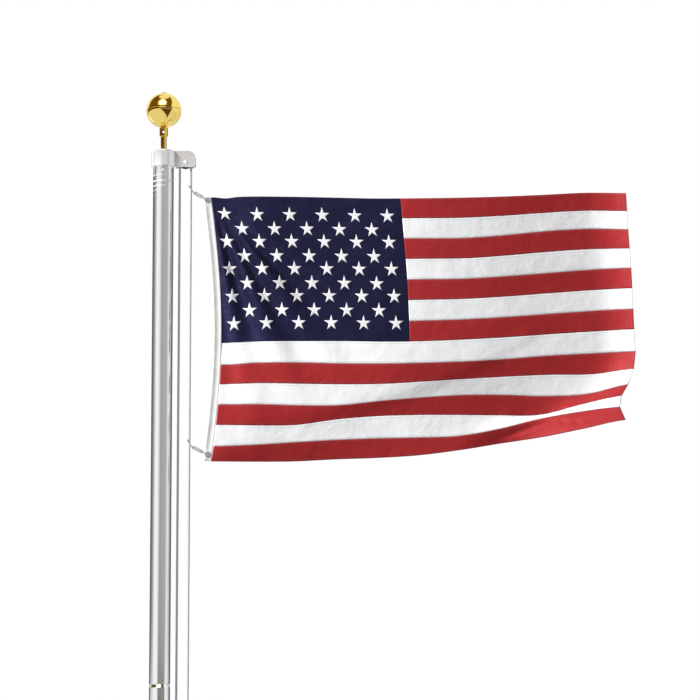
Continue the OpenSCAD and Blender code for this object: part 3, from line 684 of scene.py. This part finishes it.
def cloth_points(u, v):
    """Where points of the cloth lie, u from 0 at the hoist to 1 at the fly and v down the hoist."""
    u, v = np.asarray(u, float), np.asarray(v, float)
    lift = between_rows(seam_rows, smooth_rows(station_count, seam_lifts, u), v)
    # the top edge sags beside the corner, and below it the snap pulls the cloth up
    sag = corner_sag * bump(u, 0.035, 0.02) * np.exp(-20 * v)
    pulled_up = corner_pull * bump(u, 0.02, 0.03) * bump(v, 0.08, 0.05)
    lift = (lift - sag + pulled_up) * MM
    z = flag_top - hoist_height * v + lift
    ends = np.interp(v * stripe_count, seam_rows, fly_ends) * MM
    x = seam_line_x(v) + (ends - seam_line_x(v)) * u
    y = cloth_depth(u, v, x, z)
    # the seams are set out as they look from the front, so depth moves a point along its line of sight
    eye = camera.location
    scale = y / -eye.y
    return np.column_stack((x + (x - eye.x) * scale, y, z + (z - eye.z) * scale))


def sewn_sheet(name, points, faces, flat, thickness):
    """A sheet of cloth with its own thickness and a UV map in metres of flat cloth."""
    mesh = bpy.data.meshes.new(name)
    mesh.from_pydata(points.tolist(), [], faces)
    uv = mesh.uv_layers.new(name="UVMap")
    corners = np.empty(len(mesh.loops), int)
    mesh.loops.foreach_get("vertex_index", corners)
    uv.data.foreach_set("uv", flat[corners].ravel())
    mesh.shade_smooth()
    made = bpy.data.objects.new(name, mesh)
    scene.collection.objects.link(made)
    bpy.ops.object.select_all(action="DESELECT")
    made.select_set(True)
    bpy.context.view_layer.objects.active = made
    bpy.ops.object.modifier_add(type="SOLIDIFY")
    made.modifiers["Solidify"].thickness = thickness
    made.modifiers["Solidify"].offset = 0
    bpy.ops.object.modifier_apply(modifier="Solidify")
    return made


def cloth_panel(name, u0, u1, v0, v1, spacing):
    """A panel of the flag between two places along the fly and two down the hoist."""
    columns = max(2, int((u1 - u0) * fly_length / spacing)) + 1
    rows = max(2, int((v1 - v0) * hoist_height / spacing)) + 1
    u, v = np.meshgrid(np.linspace(u0, u1, columns), np.linspace(v0, v1, rows))
    u, v = u.ravel(), v.ravel()
    faces = [(r * columns + c, (r + 1) * columns + c, (r + 1) * columns + c + 1, r * columns + c + 1)
             for r in range(rows - 1) for c in range(columns - 1)]
    flat = np.column_stack((u * fly_length, v * hoist_height))
    return sewn_sheet(name, cloth_points(u, v), faces, flat, 2 * half_cloth)


seam_stitches = (1.5 * MM, 6 * MM)
hem_stitches = (2 * MM, 9 * MM, 27 * MM)
half_stitch = 0.5 * MM
thread_shade = (0.10, 0.10, 0.11)
thread_cover = 0.45


def nylon(name, rgb, rgb_light, sheen, gloss, beside_seams=()):
    """Woven nylon: a soft cloudy colour, small wrinkles, and a satin sheen in its own colour. Rows of
    stitches run along the hem at the fly, and at the given distances from every seam."""
    made_material, made, links, shader = new_material(name)
    place = made.new("ShaderNodeUVMap")
    place.uv_map = "UVMap"
    cloud = made.new("ShaderNodeTexNoise")
    cloud.inputs["Scale"].default_value = 9.0
    cloud.inputs["Detail"].default_value = 5.0
    links.new(place.outputs[0], cloud.inputs["Vector"])
    shade = made.new("ShaderNodeMix")
    shade.data_type = "RGBA"
    shade.inputs["A"].default_value = solid_colour(rgb)
    shade.inputs["B"].default_value = solid_colour(rgb_light)
    links.new(cloud.outputs["Fac"], shade.inputs["Factor"])
    # distance from the nearest seam across the cloth, and from the fly edge along it
    split = made.new("ShaderNodeSeparateXYZ")
    links.new(place.outputs[0], split.inputs[0])
    stripe = hoist_height / stripe_count
    share = maths(made, links, "FRACT", maths(made, links, "DIVIDE", split.outputs["Y"], stripe))
    middle = maths(made, links, "ABSOLUTE", maths(made, links, "SUBTRACT", share, 0.5))
    from_seam = maths(made, links, "MULTIPLY", maths(made, links, "SUBTRACT", 0.5, middle), stripe)
    from_fly = maths(made, links, "SUBTRACT", fly_length, split.outputs["X"])
    rows = [maths(made, links, "COMPARE", from_seam, row, half_stitch) for row in beside_seams]
    rows += [maths(made, links, "COMPARE", from_fly, row, half_stitch) for row in hem_stitches]
    sewn = rows[0]
    for row in rows[1:]:
        sewn = maths(made, links, "MAXIMUM", sewn, row)
    thread = made.new("ShaderNodeMix")
    thread.data_type = "RGBA"
    links.new(maths(made, links, "MULTIPLY", sewn, thread_cover), thread.inputs["Factor"])
    links.new(shade.outputs["Result"], thread.inputs["A"])
    thread.inputs["B"].default_value = solid_colour(thread_shade)
    links.new(thread.outputs["Result"], shader.inputs["Base Color"])
    wrinkle = made.new("ShaderNodeTexNoise")
    wrinkle.inputs["Scale"].default_value = 16.0
    wrinkle.inputs["Detail"].default_value = 3.0
    links.new(place.outputs[0], wrinkle.inputs["Vector"])
    relief = made.new("ShaderNodeBump")
    relief.inputs["Strength"].default_value = 0.5
    relief.inputs["Distance"].default_value = 0.008
    links.new(wrinkle.outputs["Fac"], relief.inputs["Height"])
    links.new(relief.outputs[0], shader.inputs["Normal"])
    shader.inputs["Roughness"].default_value = 0.5
    shader.inputs["Specular IOR Level"].default_value = gloss
    shader.inputs["Specular Tint"].default_value = solid_colour(sheen)
    return made_material


red_nylon = nylon("red_nylon", (0.27, 0.016, 0.018), (0.32, 0.021, 0.023), (1.0, 0.25, 0.25), 0.3,
                  seam_stitches)
white_nylon = nylon("white_nylon", (0.64, 0.65, 0.67), (0.84, 0.84, 0.85), (1.0, 1.0, 1.0), 0.2,
                    seam_stitches)
navy_nylon = nylon("navy_nylon", (0.004, 0.004, 0.009), (0.008, 0.008, 0.018), (0.27, 0.28, 1.0), 0.38)
navy_nylon.node_tree.nodes["Principled BSDF"].inputs["Roughness"].default_value = 0.42

for number in range(1, stripe_count + 1):
    start = canton_end if number <= canton_stripes else 0.0
    stripe = cloth_panel(f"cloth_stripe_{number}", start, 1.0, (number - 1) / stripe_count,
                         number / stripe_count, cloth_spacing)
    stripe.data.materials.append(red_nylon if number % 2 else white_nylon)
    gloss_lamp.light_linking.receiver_collection.objects.link(stripe)
    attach(stripe, "flag")
    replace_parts(stripe, f"stripe_{number}")

canton = cloth_panel("cloth_canton", 0.0, canton_end, 0.0, canton_stripes / stripe_count, canton_spacing)
canton.data.materials.append(navy_nylon)
gloss_lamp.light_linking.receiver_collection.objects.link(canton)
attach(canton, "flag")
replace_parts(canton, "canton")

# ---- Stars ---------------------------------------------------------------------
# Fifty embroidered stars of white thread on each side of the canton. Each is padded: its
# arms rise to ridges that meet in its middle, and fall away to the cloth at its outline.
star_r = 0.0276
star_inner_r = 0.0101
star_first_u, star_step_u = 0.0290, 0.0393
star_first_v, star_step_v = 0.0682, 0.0503
star_height = 0.0015
# the height's share that is left at the outline, and in the valleys between the arms, and the
# place on the way from the middle to the outline where the star starts to fall away
rim_share, valley_share, falls_from = 0.35, 0.6, 0.72
star_sink = 0.1 * MM
star_spokes, star_rounds = 30, 6
odd_row_drop = 0.003
most_drawn_in = 4 * MM
star_thread = (0.72, 0.72, 0.74)


def star_outline(angle):
    """The star's radius at an angle from its upper point, as straight sides between ten corners."""
    turn = (angle / (math.pi / 5)) % 2
    t = turn if turn < 1 else 2 - turn
    a = Vector((star_r, 0))
    b = Vector((star_inner_r * math.cos(math.pi / 5), star_inner_r * math.sin(math.pi / 5)))
    direction = Vector((math.cos(t * math.pi / 5), math.sin(t * math.pi / 5)))
    side = b - a
    cross = direction.x * side.y - direction.y * side.x
    return (a.x * side.y - a.y * side.x) / cross


def star_shell(u0, v0, face_side, first):
    """One star on one side of the cloth: its points, and its faces counted from point first."""
    u, v, height = [u0], [v0], [star_height]
    for ring in range(1, star_rounds + 1):
        share = ring / star_rounds
        for spoke in range(star_spokes):
            angle = 2 * math.pi * spoke / star_spokes
            reach = share * star_outline(angle)
            u.append(u0 + reach * math.sin(angle) / fly_length)
            v.append(v0 - reach * math.cos(angle) / hoist_height)
            ridge = 1 - abs(((angle / (math.pi / 5) + 1) % 2) - 1)
            body = valley_share + (1 - valley_share) * ridge
            edge = 1 - step(share, falls_from, 1.0)
            height.append(star_height * (rim_share + (1 - rim_share) * body * edge))
    u, v = np.array(u), np.array(v)
    base = cloth_points(u, v)
    du = cloth_points(u + 0.001, v) - base
    dv = cloth_points(u, v + 0.001) - base
    normal = np.cross(dv, du)
    normal = normal / np.linalg.norm(normal, axis=1)[:, None] * face_side
    lifted = base + normal * (half_cloth + np.array(height)[:, None] - star_sink)
    # the outline's foot is sunk into the cloth
    foot = base[-star_spokes:] + normal[-star_spokes:] * (half_cloth * 0.5)
    cells = []
    for spoke in range(star_spokes):
        after = (spoke + 1) % star_spokes
        cells.append((first, first + 1 + spoke, first + 1 + after))
        for ring in range(star_rounds):
            a = first + 1 + ring * star_spokes
            b = a + star_spokes
            cells.append((a + spoke, b + spoke, b + after, a + after))
    if face_side > 0:
        cells = [tuple(reversed(cell)) for cell in cells]
    return lifted.tolist() + foot.tolist(), cells


def star_mesh(name):
    """All the stars on both sides, in nine rows of six and five."""
    points, faces = [], []
    for row in range(9):
        for column in range(6 - row % 2):
            # the upper rows lie a little nearer the hoist, where the creases take up cloth
            drawn_in = most_drawn_in * math.sin(math.pi * (row + 1) / 7) / fly_length
            u0 = star_first_u + star_step_u * (2 * column + row % 2) - drawn_in
            v0 = star_first_v + star_step_v * row + odd_row_drop * (row % 2)
            for face_side in (-1, 1):
                star_points, star_faces = star_shell(u0, v0, face_side, len(points))
                points.extend(star_points)
                faces.extend(star_faces)
    mesh = bpy.data.meshes.new(name)
    mesh.from_pydata(points, [], faces)
    made = bpy.data.objects.new(name, mesh)
    scene.collection.objects.link(made)
    return made


stars = star_mesh("stars")
thread, made, links, shader = new_material("star_thread")
place = made.new("ShaderNodeTexCoord")
stitch = made.new("ShaderNodeTexNoise")
stitch.inputs["Scale"].default_value = 700.0
links.new(place.outputs["Object"], stitch.inputs["Vector"])
relief = made.new("ShaderNodeBump")
relief.inputs["Strength"].default_value = 0.5
relief.inputs["Distance"].default_value = 0.0003
links.new(stitch.outputs["Fac"], relief.inputs["Height"])
links.new(relief.outputs[0], shader.inputs["Normal"])
shader.inputs["Base Color"].default_value = solid_colour(star_thread)
shader.inputs["Roughness"].default_value = 0.7
stars.data.materials.append(thread)
stars.data.shade_smooth()
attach(stars, "flag")

# ---- Header --------------------------------------------------------------------
# A folded tape of white canvas, sewn over the hoist end of the cloth. A grommet is pressed
# into it near each end, and between them it creases along its middle.
header_width = 0.026
header_t = 0.0016
tape_crease = 0.0026
rows, columns = 180, 7
v, across = np.meshgrid(np.linspace(0, 1, rows), np.linspace(0, 1, columns), indexing="ij")
v, across = v.ravel(), across.ravel()
tape_x = seam_line_x(v) - header_width * across
tape_z = flag_top - hoist_height * v
# the tape lies flat at the grommets
flat_near = 0
for grommet in ("upper_grommet", "lower_grommet"):
    low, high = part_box(grommet)
    flat_near = flat_near + bump(tape_z, low.z / 2 + high.z / 2, 0.02)
tape_y = tape_crease * np.sin(1.25 * np.pi * across) * (1 - np.clip(flat_near, 0, 1))
faces = [(r * columns + c, r * columns + c + 1, (r + 1) * columns + c + 1, (r + 1) * columns + c)
         for r in range(rows - 1) for c in range(columns - 1)]
flat = np.column_stack((across * header_width, v * hoist_height))
header_tape = sewn_sheet("header_tape", np.column_stack((tape_x, tape_y, tape_z)), faces, flat, header_t)
canvas = nylon("white_canvas", (0.66, 0.66, 0.65), (0.76, 0.76, 0.75), (1.0, 1.0, 1.0), 0.2)
header_tape.data.materials.append(canvas)
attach(header_tape, "flag")
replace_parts(header_tape, "header")
